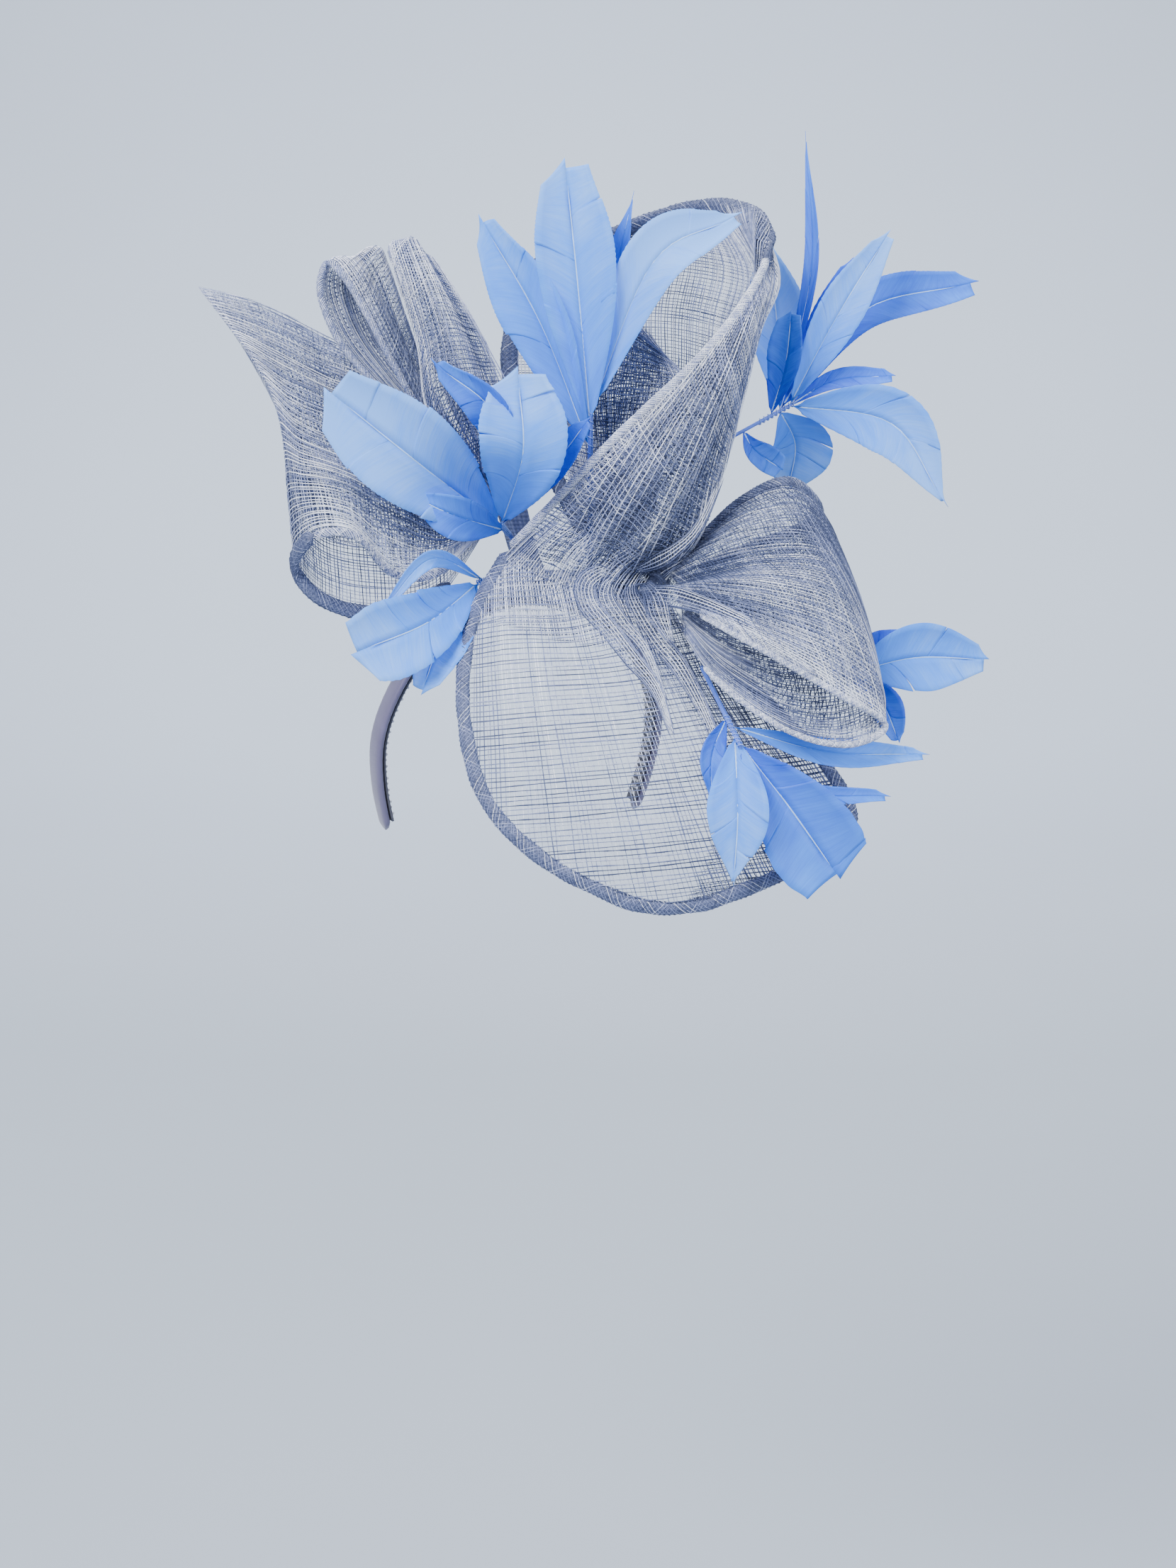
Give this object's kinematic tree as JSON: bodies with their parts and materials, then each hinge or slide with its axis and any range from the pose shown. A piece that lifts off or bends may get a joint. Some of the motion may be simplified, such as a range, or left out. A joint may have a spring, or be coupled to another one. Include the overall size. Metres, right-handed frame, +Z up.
{
  "type": "fascinator hat on a headband",
  "caption": "Swirled sinamay fascinator with looped cloth and trimmed feather sprays, sewn to a satin covered headband.",
  "frame": {"origin": "the head seat: the inside top of the headband, in the middle of its width", "axes": "+Z up through the top of the headband, the wearer faces -Y, the wearer's right is -X"},
  "size_m": [0.3817, 0.2764, 0.3729],
  "materials": {
    "satin": "lavender grey satin",
    "liner": "toothed grip tape",
    "sinamay": "stiff open weave, slate blue",
    "binding": "rolled bias strip, darker slate blue",
    "feather": "dyed goose feather, light blue"
  },
  "bodies": {
    "root": {"headband": "satin", "comb_liner": "liner", "mounting_pad": "sinamay", "saucer": "sinamay", "saucer_binding": "binding", "hood": "sinamay", "hood_binding": "binding", "inner_fold": "sinamay", "twist_knot": "sinamay", "right_loop": "sinamay", "right_loop_binding": "binding", "horn_loop": "sinamay", "horn_binding": "binding", "leaf_loop": "sinamay", "leaf_binding": "binding", "pleat_loop": "sinamay", "feather_spray_left": "feather", "feather_spray_top": "feather", "feather_spray_right_top": "feather", "feather_spray_right_mid": "feather", "feather_spray_lower_right": "feather", "feather_spray_lower_left": "feather"}
  },
  "joints": []
}
